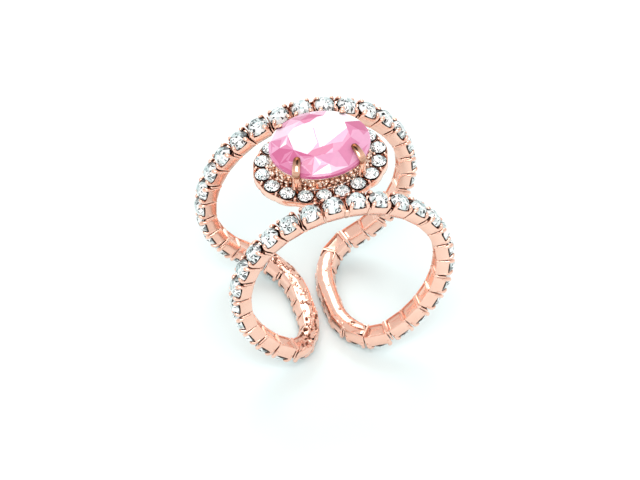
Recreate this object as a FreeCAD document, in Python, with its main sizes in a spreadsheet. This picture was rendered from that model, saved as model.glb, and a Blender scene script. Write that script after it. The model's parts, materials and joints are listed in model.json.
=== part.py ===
import FreeCAD, Part
import bisect
import math
import os
from FreeCAD import Placement, Rotation, Vector

# Cocktail ring: a closed loop of square crystal cups lies on the finger. Its two bands pass in front of and
# behind an oval head and join in two U-shaped tips that face each other across the open back.
# Frame: the origin is the middle of the finger opening, +Y runs along the finger away from the wearer's view,
# +Z points away from the open back. The head stands half a link off the top, towards -X. Millimetres.

DIMENSIONS = {
    "finger_radius": 9.05,
    "loop_half_width": 6.43,
    "loop_reach_angle": 171.8,
    "front_corner_around": 3.7,
    "front_corner_along": 5.0,
    "rear_corner_around": 3.75,
    "rear_corner_along": 5.4,
    "waist_share": 0.035,
    "waist_end_margin": 2.25,
    "link_count": 64,
    "wide_slot": 0.30,
    "thin_slot": 0.10,
    "cup_base_width": 1.40,
    "cup_rim_width": 1.96,
    "cup_height": 1.35,
    "cup_trim": 0.12,
    "chain_lag": 0.145,
    "chain_lag_swing": 0.12,
    "claw_size": 0.36,
    "claw_lean": 0.16,
    "claw_root": 0.30,
    "claw_tip_share": 0.75,
    "claw_top": 1.94,
    "crystal_radius": 0.95,
    "crystal_table_radius": 0.55,
    "crystal_culet_height": 0.55,
    "crystal_girdle_height": 1.28,
    "crystal_girdle_depth": 0.07,
    "crystal_table_height": 1.86,
    "seat_clearance": 0.01,
    "joiner_width": 0.80,
    "joiner_low": 0.34,
    "joiner_high": 0.78,
    "solder_width": 0.90,
    "solder_depth": 0.30,
    "hinge_pin_radius": 0.13,
    "hinge_pin_length": 1.10,
    "hinge_pin_height": 0.40,
    "head_lean_angle": -6.3,
    "halo_floor": 9.12,
    "halo_top": 9.66,
    "halo_outer_length": 6.45,
    "halo_outer_width": 5.15,
    "halo_inner_length": 4.55,
    "halo_inner_width": 3.25,
    "halo_row_length": 5.65,
    "halo_row_width": 4.35,
    "halo_count": 18,
    "halo_crystal_radius": 0.77,
    "halo_crystal_table_radius": 0.45,
    "halo_crystal_culet": 9.18,
    "halo_crystal_girdle": 9.66,
    "halo_crystal_table": 10.02,
    "halo_prong_radius": 0.16,
    "halo_prong_top": 9.95,
    "halo_prong_offset": 0.56,
    "gallery_floor_length": 4.78,
    "gallery_floor_width": 3.48,
    "gallery_top_length": 4.66,
    "gallery_top_width": 4.02,
    "gallery_top": 11.60,
    "gallery_wall": 0.28,
    "seat_floor_length": 2.70,
    "seat_floor_width": 2.20,
    "seat_floor": 9.20,
    "seat_top": 11.75,
    "seat_top_length": 4.56,
    "seat_top_width": 3.96,
    "stone_length": 4.83,
    "stone_width": 4.21,
    "stone_culet": 9.60,
    "stone_culet_radius": 0.30,
    "stone_girdle_low": 11.97,
    "stone_girdle_high": 12.13,
    "stone_table": 13.20,
    "stone_table_length": 3.00,
    "stone_table_width": 2.60,
    "stone_claw_place_angle": 49.0,
    "stone_claw_heading_angle": 67.7,
    "stone_claw_width": 0.85,
    "stone_claw_foot": 10.06,
    "joint_solder_radius": 0.62,
    "joint_solder_offset": 1.55,
    "joint_solder_reach": 5.42,
    "joint_solder_level": 9.56,
}

HINGE_STEPS = 2
TIP_SOLDER_REACH = 3
PATH_STEPS = 60
ROW_STEPS = 720
SOLDER_STRETCH = (1.2, 0.85, 0.62)

# The long claws' outline, seen from the side: how far out from the stone's edge, the level it is measured
# from, and the rise above that level.
STONE_CLAW_PROFILE = (
    (-0.45, "stone_claw_foot", 0.0),
    (0.12, "stone_claw_foot", 0.0),
    (0.42, "stone_girdle_low", -0.2),
    (0.40, "stone_girdle_high", 0.25),
    (-0.25, "stone_girdle_high", 0.78),
    (-1.25, "stone_girdle_high", 1.05),
    (-1.45, "stone_girdle_high", 0.86),
    (-0.60, "stone_girdle_high", 0.0),
)

doc = FreeCAD.newDocument("cocktail_ring")
sheet = doc.addObject("Spreadsheet::Sheet", "Dimensions")
for row, (alias, value) in enumerate(DIMENSIONS.items(), start=1):
    sheet.set("A%d" % row, alias)
    sheet.set("B%d" % row, str(value))
    sheet.setAlias("B%d" % row, alias)
doc.recompute()


def dim(alias):
    """A driving dimension, read from the sheet."""
    return float(sheet.get(alias))


FINGER = dim("finger_radius")
LINKS = int(dim("link_count"))
REACH = FINGER * math.radians(dim("loop_reach_angle"))
ALONG = Vector(0, 1, 0)
LEAN = Placement(Vector(0, 0, 0), Rotation(ALONG, dim("head_lean_angle")))
parts = []


def keep(shape_object, label):
    """Note an object as one of the ring's pieces, under the name of its node."""
    shape_object.Label = label
    parts.append(shape_object)
    return shape_object


def feature(label, solids):
    """A piece whose shape comes from Part's functions."""
    piece = doc.addObject("Part::Feature", label)
    piece.Shape = solids[0] if len(solids) == 1 else Part.makeCompound(solids)
    return keep(piece, label)


# The loop, unrolled off the finger: each point is (distance around the finger, distance along it).


def quarter_loop(corner_around, corner_along):
    """From the middle of a band, round one elliptical corner, to the middle of a tip."""
    half_width = dim("loop_half_width")
    straight = REACH - corner_around
    points = [(straight * i / PATH_STEPS, half_width) for i in range(PATH_STEPS)]
    for i in range(PATH_STEPS):
        turn = math.pi / 2 * i / PATH_STEPS
        around = straight + corner_around * math.sin(turn)
        points.append((around, half_width - corner_along * (1 - math.cos(turn))))
    end = half_width - corner_along
    points += [(REACH, end * (1 - i / PATH_STEPS)) for i in range(PATH_STEPS + 1)]
    return points


def drawn_in(around, along):
    """The two bands draw together a little at the finger's sides."""
    share = min(abs(around) / (REACH - dim("waist_end_margin")), 1.0)
    return around, along * (1 - dim("waist_share") * math.sin(math.pi * share) ** 2)


def whole_loop():
    """The closed loop, from the middle of the front band round the right side first."""
    front = quarter_loop(dim("front_corner_around"), dim("front_corner_along"))
    rear = quarter_loop(dim("rear_corner_around"), dim("rear_corner_along"))
    points = [(u, -v) for u, v in front]
    points += [(u, v) for u, v in reversed(rear)][1:]
    points += [(-u, v) for u, v in rear][1:]
    points += [(-u, -v) for u, v in reversed(front)][1:]
    return [drawn_in(u, v) for u, v in points]


LOOP = whole_loop()
MILES = [0.0]
for before, after in zip(LOOP, LOOP[1:]):
    MILES.append(MILES[-1] + math.dist(before, after))
PITCH = MILES[-1] / LINKS


def station(distance):
    """The unrolled point at a distance along the loop."""
    distance %= MILES[-1]
    i = max(1, bisect.bisect_left(MILES, distance))
    share = (distance - MILES[i - 1]) / (MILES[i] - MILES[i - 1])
    (u0, v0), (u1, v1) = LOOP[i - 1], LOOP[i]
    return u0 + (u1 - u0) * share, v0 + (v1 - v0) * share


def outward(around):
    """The direction away from the finger's axis."""
    angle = around / FINGER
    return Vector(math.sin(angle), 0, math.cos(angle))


def heading(distance, span):
    """The direction of travel along the loop, averaged over a span."""
    u0, v0 = station(distance - span / 2)
    u1, v1 = station(distance + span / 2)
    angle = station(distance)[0] / FINGER
    travel = Vector(math.cos(angle), 0, -math.sin(angle)) * (u1 - u0) + ALONG * (v1 - v0)
    return travel.normalize()


def frame_at(distance, span):
    """Place, travel, across and outward directions of the loop on the finger's surface."""
    around, along = station(distance)
    out = outward(around)
    travel = heading(distance, span)
    return out * FINGER + ALONG * along, travel, out.cross(travel), out


def chain_distance(count):
    """The distance after so many links; the chain lags the loop's start, in front more than at the rear."""
    lag = dim("chain_lag") + dim("chain_lag_swing") * math.cos(2 * math.pi * count / LINKS)
    return (count - lag) * PITCH


def link_frame(k):
    """The frame of a link, at its middle."""
    return frame_at(chain_distance(k + 0.5), PITCH)


def junction_frame(j):
    """The frame of the junction between link j - 1 and link j."""
    return frame_at(chain_distance(j), PITCH / 2)


def slot(j):
    """Links come in pairs: a thin slot inside a pair, a wide one between pairs."""
    return dim("wide_slot") if j % 2 == 0 else dim("thin_slot")


def block(low_ring, high_ring):
    """The solid between two rings of four corners."""
    rings = [Part.makePolygon(low_ring + low_ring[:1]), Part.makePolygon(high_ring + high_ring[:1])]
    faces = [Part.Face(ring) for ring in rings]
    for i in range(4):
        n = (i + 1) % 4
        corners = [low_ring[i], low_ring[n], high_ring[n], high_ring[i], low_ring[i]]
        faces.append(Part.Face(Part.makePolygon(corners)))
    solid = Part.Solid(Part.Shell(faces))
    if solid.Volume < 0:
        solid.reverse()
    return solid


def link_ring(k, height, width, gaps):
    """The four corners of link k at one height, ended on its two mitre planes less half a gap each."""
    place, travel, across, out = link_frame(k)
    corners = []
    for side in (-1, 1):
        line = place + out * height + across * (side * width / 2)
        ends = []
        for j, sign, gap in ((k, 1, gaps[0]), (k + 1, -1, gaps[1])):
            at, normal, _, _ = junction_frame(j)
            plane_point = at + normal * (sign * gap / 2)
            ends.append(line + travel * ((plane_point - line).dot(normal) / travel.dot(normal)))
        corners += ends if side < 0 else reversed(ends)
    return list(corners)


def finger_core():
    """The finger opening as a solid, to trim what reaches into it."""
    length = 4 * dim("loop_half_width")
    return Part.makeCylinder(FINGER, length, Vector(0, -length / 2, 0), ALONG)


CORE = finger_core()


def crystal_solid(frame, radii, heights, grow=0.0):
    """A round crystal: pavilion, girdle and crown turned about the outward axis of its frame."""
    place, travel, _, out = frame
    radius, table_radius = radii[0] + grow, radii[1] + grow
    culet, girdle, girdle_top, table = heights
    profile = [(0, culet - grow), (radius, girdle - grow), (radius, girdle_top + grow)]
    profile += [(table_radius, table + grow), (0, table + grow)]
    corners = [place + travel * x + out * z for x, z in profile]
    face = Part.Face(Part.makePolygon(corners + corners[:1]))
    return face.revolve(place, out, 360)


def cup_crystal(k, grow=0.0):
    """The crystal of link k."""
    girdle = dim("crystal_girdle_height")
    heights = (dim("crystal_culet_height"), girdle, girdle + dim("crystal_girdle_depth"))
    radii = (dim("crystal_radius"), dim("crystal_table_radius"))
    return crystal_solid(link_frame(k), radii, heights + (dim("crystal_table_height"),), grow)


def claw(corner, to_travel, to_across, out):
    """A claw on one rim corner, leaning in over the crystal's crown."""
    size, lean, root = dim("claw_size"), dim("claw_lean"), dim("claw_root")
    rise = dim("claw_top") - dim("cup_height")
    foot = corner - out * root
    low = [foot, foot + to_travel * size, foot + (to_travel + to_across) * size, foot + to_across * size]
    shift = (to_travel + to_across) * lean + out * (rise + root)
    middle = (low[0] + low[2]) * 0.5
    high = [middle + (p - middle) * dim("claw_tip_share") + shift for p in low]
    return block(low, high)


def cup_solid(k):
    """A tapered square cup with four claws, its crystal's seat cut out and its foot on the finger."""
    gaps = (slot(k), slot(k + 1))
    place, travel, across, out = link_frame(k)
    taper = (dim("cup_rim_width") - dim("cup_base_width")) / dim("cup_height")
    trim = dim("cup_trim")
    low = link_ring(k, -trim, dim("cup_base_width") - taper * trim, gaps)
    rim = link_ring(k, dim("cup_height"), dim("cup_rim_width"), gaps)
    girdle = dim("crystal_girdle_height")
    radius = dim("crystal_radius") + dim("seat_clearance")
    opening = Part.makeCylinder(radius, 2.0, place + out * girdle, out)
    grown = cup_crystal(k, dim("seat_clearance"))
    body = block(low, rim).cut([CORE, opening, grown])
    claws = []
    for corner, along_travel, along_across in zip(rim, (1, -1, -1, 1), (1, 1, -1, -1)):
        claws.append(claw(corner, travel * along_travel, across * along_across, out))
    claws = [piece.cut(grown) for piece in claws]
    cup = body.fuse(claws).removeSplitter()
    return cup.Solids[0] if len(cup.Solids) == 1 else cup


def solder_strip(first, last):
    """Solder run along the finger side of the links at a tip, one strip through their slots."""
    strip = None
    for k in range(first, last + 1):
        gaps = (slot(k) if k == first else 0.0, slot(k + 1) if k == last else 0.0)
        width = dim("solder_width")
        rings = [link_ring(k, z, width, gaps) for z in (-dim("cup_trim"), dim("solder_depth"))]
        length = block(*rings).cut(CORE)
        strip = length if strip is None else strip.fuse(length)
    return strip.removeSplitter()


def joiner(j):
    """The strip that bridges the slot of junction j, from one cup's wall to the next."""
    at, travel, across, out = junction_frame(j)
    half_gap, half_width = slot(j) / 2, dim("joiner_width") / 2
    rings = []
    for z in (dim("joiner_low"), dim("joiner_high")):
        base = at + out * z
        spots = ((-1, -1), (1, -1), (1, 1), (-1, 1))
        rings.append([base + travel * (a * half_gap) + across * (b * half_width) for a, b in spots])
    return block(*rings)


# The chain's runs: the middle of each band stays with the head, the rest is the two flexible sides.
HALF = LINKS // 2
SIDE = (HALF - 2 * HINGE_STEPS) // 3
RIGHT = HINGE_STEPS
LEFT = HALF + HINGE_STEPS
RUNS = {
    "front_centre": range(LINKS - HINGE_STEPS, LINKS + HINGE_STEPS),
    "right_front": range(RIGHT, RIGHT + SIDE),
    "right_tip": range(RIGHT + SIDE, HALF - HINGE_STEPS - SIDE),
    "right_rear": range(HALF - HINGE_STEPS - SIDE, HALF - HINGE_STEPS),
    "rear_centre": range(HALF - HINGE_STEPS, HALF + HINGE_STEPS),
    "left_rear": range(LEFT, LEFT + SIDE),
    "left_tip": range(LEFT + SIDE, LINKS - HINGE_STEPS - SIDE),
    "left_front": range(LINKS - HINGE_STEPS - SIDE, LINKS - HINGE_STEPS),
}
HINGES = {"right": (HINGE_STEPS, HALF - HINGE_STEPS), "left": (LINKS - HINGE_STEPS, HALF + HINGE_STEPS)}
HINGE_JUNCTIONS = HINGES["right"] + HINGES["left"]
SOLDERED = {}
for side, middle in (("right", HALF // 2), ("left", LINKS - HALF // 2)):
    first, last = middle - TIP_SOLDER_REACH, middle + TIP_SOLDER_REACH - 1
    strip = solder_strip(first, last)
    for k in range(first, last + 1):
        SOLDERED[k] = strip
    feature(side + "_tip_solder", [strip])

for name, run in RUNS.items():
    cups = []
    for k in run:
        cup = cup_solid(k % LINKS)
        cups.append(cup.cut(SOLDERED[k]) if k in SOLDERED else cup)
    feature(name + "_cups", cups)
    feature(name + "_crystals", [cup_crystal(k % LINKS) for k in run])
    feature(name + "_joiners", [joiner(j % LINKS) for j in run if j % LINKS not in HINGE_JUNCTIONS])


def bind(target, sizes):
    """Tie an object's properties to the sheet."""
    for name, expression in sizes.items():
        target.setExpression(name, expression)


def made(kind, name, sizes):
    """A document object of one kind, its sizes tied to the sheet."""
    item = doc.addObject(kind, name)
    bind(item, sizes)
    return item


def hinge_point(j):
    """Where a hinge's line crosses junction j."""
    at, _, _, out = junction_frame(j)
    return at + out * dim("hinge_pin_height")


def hinge_line(side):
    """The middle and direction of the line through a side's front and rear junction."""
    front, rear = (hinge_point(j) for j in HINGES[side])
    return (front + rear) * 0.5, (rear - front).normalize()


# Hinge pins: the front and rear pin of a side share one line, nearly along the finger.
for side, junctions in HINGES.items():
    pins = []
    _, direction = hinge_line(side)
    for j in junctions:
        pin = made("Part::Cylinder", "%s_pin_%d" % (side, j), {
            "Radius": "Dimensions.hinge_pin_radius",
            "Height": "Dimensions.hinge_pin_length",
        })
        foot = hinge_point(j) - direction * (dim("hinge_pin_length") / 2)
        pin.Placement = Placement(foot, Rotation(Vector(0, 0, 1), direction))
        pins.append(pin)
    pair = doc.addObject("Part::Compound", side + "_hinge_pins")
    pair.Links = pins
    keep(pair, side + "_hinge_pins")


# The head, built upright and then leaned about the finger's axis.


def oval(name, long_alias, short_alias, level_alias, trim="0"):
    """An oval edge at one level, its half length and half width from the sheet."""
    edge = made("Part::Ellipse", name, {
        "MajorRadius": "Dimensions.%s - %s" % (long_alias, trim),
        "MinorRadius": "Dimensions.%s - %s" % (short_alias, trim),
        "Placement.Base.z": "Dimensions." + level_alias,
    })
    return edge


def lofted(name, ovals):
    """A solid ruled through a stack of ovals."""
    body = doc.addObject("Part::Loft", name)
    body.Sections = ovals
    body.Solid = True
    body.Ruled = True
    return body


def less(name, base, tool):
    """One object with another cut out of it."""
    cut = doc.addObject("Part::Cut", name)
    cut.Base = base
    cut.Tool = tool
    return cut


stone_body = lofted("stone_body", [
    made("Part::Ellipse", "stone_culet", {
        "MajorRadius": "Dimensions.stone_culet_radius",
        "MinorRadius": "Dimensions.stone_culet_radius * 0.9",
        "Placement.Base.z": "Dimensions.stone_culet",
    }),
    oval("stone_girdle_low", "stone_length", "stone_width", "stone_girdle_low"),
    oval("stone_girdle_high", "stone_length", "stone_width", "stone_girdle_high"),
    oval("stone_table", "stone_table_length", "stone_table_width", "stone_table"),
])
seat_body = lofted("seat_body", [
    oval("seat_floor", "seat_floor_length", "seat_floor_width", "seat_floor"),
    oval("seat_top", "seat_top_length", "seat_top_width", "seat_top"),
])
seat_cup = less("seat_cup", seat_body, stone_body)
gallery_body = lofted("gallery_body", [
    oval("gallery_floor", "gallery_floor_length", "gallery_floor_width", "halo_top"),
    oval("gallery_top", "gallery_top_length", "gallery_top_width", "gallery_top"),
])
gallery_hollow = lofted("gallery_hollow", [
    oval("hollow_floor", "gallery_floor_length", "gallery_floor_width", "halo_top", "Dimensions.gallery_wall"),
    oval("hollow_top", "gallery_top_length", "gallery_top_width", "gallery_top", "Dimensions.gallery_wall"),
])
gallery_tube = less("gallery_tube", gallery_body, gallery_hollow)
gallery_clear = less("gallery_clear", gallery_tube, seat_body)
halo_body = lofted("halo_body", [
    oval("halo_low", "halo_outer_length", "halo_outer_width", "halo_floor"),
    oval("halo_high", "halo_outer_length", "halo_outer_width", "halo_top"),
])
halo_hollow = lofted("halo_hollow", [
    oval("halo_hollow_low", "halo_inner_length", "halo_inner_width", "halo_floor"),
    oval("halo_hollow_high", "halo_inner_length", "halo_inner_width", "halo_top"),
])
halo_band = less("halo_band", halo_body, halo_hollow)
doc.recompute()


def leaned(label, solids):
    """A piece of the head, set at the head's lean."""
    piece = feature(label, solids)
    piece.Placement = LEAN
    return piece


def oval_point(share, grow=0.0):
    """A point of the crystal row round the halo, at a share of its length, moved out by a little."""
    length, width = dim("halo_row_length"), dim("halo_row_width")
    angles = [2 * math.pi * i / ROW_STEPS for i in range(ROW_STEPS + 1)]
    spots = [(length * math.cos(a), width * math.sin(a)) for a in angles]
    run = [0.0]
    for before, after in zip(spots, spots[1:]):
        run.append(run[-1] + math.dist(before, after))
    i = bisect.bisect_left(run, (share % 1.0) * run[-1])
    x, y = spots[i]
    normal = Vector(x / length ** 2, y / width ** 2, 0).normalize()
    return Vector(x, y, 0) + normal * grow


HALO_COUNT = int(dim("halo_count"))


def halo_crystal(i, grow=0.0):
    """One crystal of the halo's row."""
    place = oval_point(i / HALO_COUNT)
    frame = (place, Vector(1, 0, 0), ALONG, Vector(0, 0, 1))
    girdle = dim("halo_crystal_girdle")
    heights = (dim("halo_crystal_culet"), girdle, girdle + dim("crystal_girdle_depth"))
    radii = (dim("halo_crystal_radius"), dim("halo_crystal_table_radius"))
    return crystal_solid(frame, radii, heights + (dim("halo_crystal_table"),), grow)


halo_seats = [halo_crystal(i, dim("seat_clearance")) for i in range(HALO_COUNT)]
leaned("halo_frame", [halo_band.Shape.cut(halo_seats).Solids[0]])
leaned("halo_crystals", [halo_crystal(i) for i in range(HALO_COUNT)])
prongs = []
for i in range(HALO_COUNT):
    for offset in (-1, 1):
        spot = oval_point((i + 0.5) / HALO_COUNT, offset * dim("halo_prong_offset"))
        foot = spot + Vector(0, 0, dim("halo_top"))
        rise = dim("halo_prong_top") - dim("halo_top")
        prongs.append(Part.makeCylinder(dim("halo_prong_radius"), rise, foot))
leaned("halo_prongs", prongs)

for source, label in ((stone_body, "centre_stone"), (seat_cup, "stone_seat"), (gallery_clear, "gallery_wall")):
    leaned(label, [source.Shape.Solids[0]])


def stone_claw(x_side, y_side):
    """A long claw from the gallery's foot, over the girdle and onto the stone's crown."""
    place, heading_angle = (math.radians(dim("stone_claw_" + key + "_angle")) for key in ("place", "heading"))
    at_girdle = Vector(dim("stone_length") * math.cos(place) * x_side,
                       dim("stone_width") * math.sin(place) * y_side, 0)
    direction = Vector(math.cos(heading_angle) * x_side, math.sin(heading_angle) * y_side, 0)
    side = direction.cross(Vector(0, 0, 1)) * (dim("stone_claw_width") / 2)
    corners = []
    for stand, level, rise in STONE_CLAW_PROFILE:
        corners.append(at_girdle + direction * stand + Vector(0, 0, dim(level) + rise) - side)
    face = Part.Face(Part.makePolygon(corners + corners[:1]))
    blank = face.extrude(side * 2)
    trimmed = blank.cut([stone_body.Shape, seat_body.Shape, gallery_body.Shape])
    return max(trimmed.Solids, key=lambda solid: solid.Volume)


for y_name, y_side in (("front", -1), ("rear", 1)):
    for x_name, x_side in (("left", -1), ("right", 1)):
        leaned("stone_claw_%s_%s" % (y_name, x_name), [stone_claw(x_side, y_side)])


def joint_solder(x_side, y_side, neighbours):
    """A bead of solder that fills the gap between the halo's edge and a band's cups."""
    blob = Part.makeSphere(dim("joint_solder_radius"))
    stretch = FreeCAD.Matrix()
    stretch.scale(*SOLDER_STRETCH)
    blob = blob.transformGeometry(stretch)
    centre = Vector(dim("joint_solder_offset") * x_side, dim("joint_solder_reach") * y_side,
                    dim("joint_solder_level"))
    blob.Placement = LEAN.multiply(Placement(centre, Rotation()))
    rest = blob.cut(neighbours)
    return max(rest.Solids, key=lambda solid: solid.Volume)


def shape_of(label):
    """The placed shape of a piece that is already made."""
    return next(piece.Shape for piece in parts if piece.Label == label)


for y_name, y_side in (("front", -1), ("rear", 1)):
    around_it = [shape_of(y_name + "_centre_" + kind) for kind in ("cups", "crystals", "joiners")]
    around_it += [shape_of("halo_frame"), shape_of("halo_crystals"), shape_of("halo_prongs"), CORE]
    for x_name, x_side in (("left", -1), ("right", 1)):
        label = "halo_solder_%s_%s" % (y_name, x_name)
        feature(label, [joint_solder(x_side, y_side, around_it)])

doc.recompute()

for item in doc.Objects:
    if "Invalid" in item.State or "Error" in item.State:
        raise RuntimeError("object %s failed" % item.Name)
for piece in parts:
    if piece.Shape.isNull() or not piece.Shape.isValid() or not piece.Shape.Solids:
        raise RuntimeError("shape of %s is not valid" % piece.Label)

os.makedirs("parts", exist_ok=True)
for piece in parts:
    piece.Shape.exportStep("parts/%s.step" % piece.Label)
for side in HINGES:
    for name, value in zip(("middle", "direction"), hinge_line(side)):
        print("%s hinge %s %.4f %.4f %.4f" % (side, name, *value))
print("%d pieces, link pitch %.4f mm" % (len(parts), PITCH))
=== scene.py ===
import bisect
import json
import math
import random
import bmesh
import bpy
from mathutils import Matrix, Vector


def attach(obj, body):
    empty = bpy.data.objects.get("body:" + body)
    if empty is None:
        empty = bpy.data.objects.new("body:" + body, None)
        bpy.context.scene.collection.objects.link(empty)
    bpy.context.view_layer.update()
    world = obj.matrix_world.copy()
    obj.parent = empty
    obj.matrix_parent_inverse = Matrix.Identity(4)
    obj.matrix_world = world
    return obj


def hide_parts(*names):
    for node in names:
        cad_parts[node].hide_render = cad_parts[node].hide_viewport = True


# A cocktail ring of cup chain round an oval head. Shapes are worked out in millimetres in the frame of the
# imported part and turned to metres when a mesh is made. Every piece stands for one CAD node and rides with it.

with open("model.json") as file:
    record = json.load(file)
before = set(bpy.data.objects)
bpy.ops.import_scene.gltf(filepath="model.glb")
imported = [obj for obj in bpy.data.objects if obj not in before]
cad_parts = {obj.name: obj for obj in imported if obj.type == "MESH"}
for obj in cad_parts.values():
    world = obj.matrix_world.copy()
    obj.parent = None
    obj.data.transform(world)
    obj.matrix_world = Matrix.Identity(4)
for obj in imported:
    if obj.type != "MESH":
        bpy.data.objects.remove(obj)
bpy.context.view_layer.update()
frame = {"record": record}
MM = 0.001
WELD = 1e-8
BODY_OF = {node: body for body, nodes in frame["record"]["behaviour"]["bodies"].items() for node in nodes}

# The chain's path, as in the part's source.
FINGER = 9.05
HALF_WIDTH = 6.43
REACH = FINGER * math.radians(171.8)
CORNERS = {"front": (3.7, 5.0), "rear": (3.75, 5.4)}
WAIST_SHARE = 0.035
WAIST_END = 2.25
LINKS = 64
PATH_STEPS = 60
CHAIN_LAG = (0.145, 0.12)
HINGE_STEPS = 2
ALONG = Vector((0, 1, 0))

# The cups: half their width at the base, how much further out the rim stands, their nominal half length, and
# the slots between them at the base and the rim. A crystal takes up to its room of the link's length.
CUP_HEIGHT = 1.35
BASE_HALF = 0.70
RIM_SPREAD = 0.28
TAPER = RIM_SPREAD / CUP_HEIGHT
NOMINAL_HALF = 0.93
WIDE_GAPS = (0.28, 0.42)
THIN_GAPS = (0.02, 0.17)
CRYSTAL_ROOM = 0.492
CRYSTAL = {"radius": 1.0, "table": 0.60, "culet": 0.55, "girdle": 1.29, "rim": 1.36, "top": 1.91}

# The head, upright, before its lean about the finger's axis.
LEAN = Matrix.Rotation(math.radians(-6.3), 3, "Y")
HALO_COUNT = 18
HALO_ROW = (5.65, 4.35)
HALO_CRYSTAL = {"radius": 0.72, "table": 0.43, "culet": 9.2, "girdle": 9.73, "rim": 9.79, "top": 10.08}
STONE_HALF = (4.83, 4.21)
STONE_GIRDLE = (11.80, 12.13)
STONE_TABLE = (0.62, 13.20)


def quarter_loop(around_corner, along_corner):
    """From the middle of a band, round one corner, to the middle of a tip, unrolled."""
    straight = REACH - around_corner
    points = [(straight * i / PATH_STEPS, HALF_WIDTH) for i in range(PATH_STEPS)]
    for i in range(PATH_STEPS):
        turn = math.pi / 2 * i / PATH_STEPS
        along = HALF_WIDTH - along_corner * (1 - math.cos(turn))
        points.append((straight + around_corner * math.sin(turn), along))
    end = HALF_WIDTH - along_corner
    return points + [(REACH, end * (1 - i / PATH_STEPS)) for i in range(PATH_STEPS + 1)]


def drawn_in(around, along):
    """The two bands draw together a little at the finger's sides."""
    share = min(abs(around) / (REACH - WAIST_END), 1.0)
    return around, along * (1 - WAIST_SHARE * math.sin(math.pi * share) ** 2)


def whole_loop():
    """The closed loop, from the middle of the front band round the right side first."""
    front, rear = quarter_loop(*CORNERS["front"]), quarter_loop(*CORNERS["rear"])
    points = [(u, -v) for u, v in front] + [(u, v) for u, v in reversed(rear)][1:]
    points += [(-u, v) for u, v in rear][1:] + [(-u, -v) for u, v in reversed(front)][1:]
    return [drawn_in(u, v) for u, v in points]


LOOP = whole_loop()
MILES = [0.0]
for before, after in zip(LOOP, LOOP[1:]):
    MILES.append(MILES[-1] + math.dist(before, after))
PITCH = MILES[-1] / LINKS


def station(distance):
    """The unrolled point at a distance along the loop."""
    distance %= MILES[-1]
    i = max(1, bisect.bisect_left(MILES, distance))
    share = (distance - MILES[i - 1]) / (MILES[i] - MILES[i - 1])
    (u0, v0), (u1, v1) = LOOP[i - 1], LOOP[i]
    return u0 + (u1 - u0) * share, v0 + (v1 - v0) * share


def frame_at(distance, span):
    """Place, travel, across and outward directions of the loop on the finger's surface."""
    around, along = station(distance)
    (u0, v0), (u1, v1) = station(distance - span / 2), station(distance + span / 2)
    angle = around / FINGER
    out = Vector((math.sin(angle), 0, math.cos(angle)))
    travel = (Vector((math.cos(angle), 0, -math.sin(angle))) * (u1 - u0) + ALONG * (v1 - v0)).normalized()
    return out * FINGER + ALONG * along, travel, out.cross(travel), out


def chain_distance(count):
    """The distance after so many links; the chain lags the loop's start, in front more than at the rear."""
    return (count - CHAIN_LAG[0] - CHAIN_LAG[1] * math.cos(2 * math.pi * count / LINKS)) * PITCH


def link_frame(k):
    return frame_at(chain_distance(k + 0.5), PITCH)


def junction_frame(j):
    return frame_at(chain_distance(j), PITCH / 2)


def gap(j, height):
    """The slot between two cups: links come in pairs, and every slot opens towards the rim."""
    low, high = WIDE_GAPS if j % 2 == 0 else THIN_GAPS
    return low + (high - low) * max(0.0, height) / CUP_HEIGHT


def half_width(height):
    """Half of a cup's width at a height."""
    return BASE_HALF + TAPER * height


class Link:
    """One link of the chain: maps (along the link, across it, height) to a place in the ring."""

    def __init__(self, k):
        self.k = k
        self.place, self.travel, self.across, self.out = link_frame(k)
        self.ends = [junction_frame(k)[:2], junction_frame(k + 1)[:2]]

    def spot(self, x, y, z):
        line = self.place + self.out * z + self.across * y
        ends = []
        for (at, normal), j, sign in zip(self.ends, (self.k, self.k + 1), (1, -1)):
            plane = at + normal * (sign * gap(j, z) / 2)
            ends.append(line + self.travel * ((plane - line).dot(normal) / self.travel.dot(normal)))
        return ends[0].lerp(ends[1], (x / NOMINAL_HALF + 1) / 2)


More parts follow.
